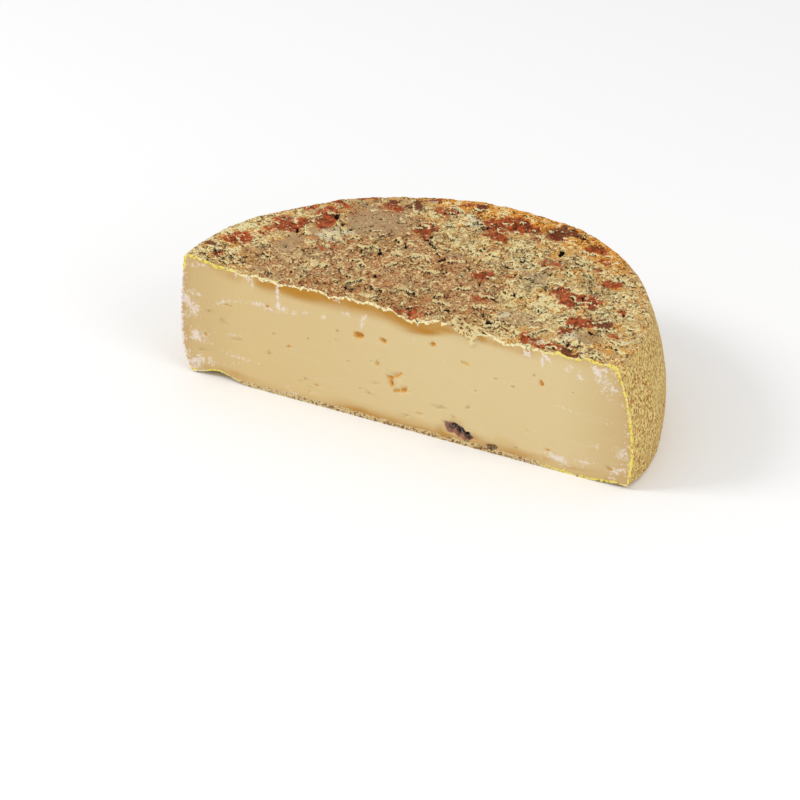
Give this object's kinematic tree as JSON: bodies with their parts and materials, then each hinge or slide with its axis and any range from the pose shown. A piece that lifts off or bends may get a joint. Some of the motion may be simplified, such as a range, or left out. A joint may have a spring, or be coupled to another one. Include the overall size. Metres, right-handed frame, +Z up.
{
  "type": "half cheese wheel",
  "caption": "Half a wheel of natural-rind mountain cheese, cut straight across, with a crusty dished top, a bulging side and small eyes in the cut face.",
  "frame": {"origin": "middle of the whole part's box, on the surface it rests on", "axes": "+Z up, the cut face looks along -Y, +X runs along the cut from the tall end to the low end"},
  "size_m": [0.2008, 0.109, 0.0526],
  "materials": {
    "cheese": "dry crusty natural rind outside, smooth slightly waxy paste on the cut"
  },
  "bodies": {
    "root": {"half_wheel": "cheese"}
  },
  "joints": []
}
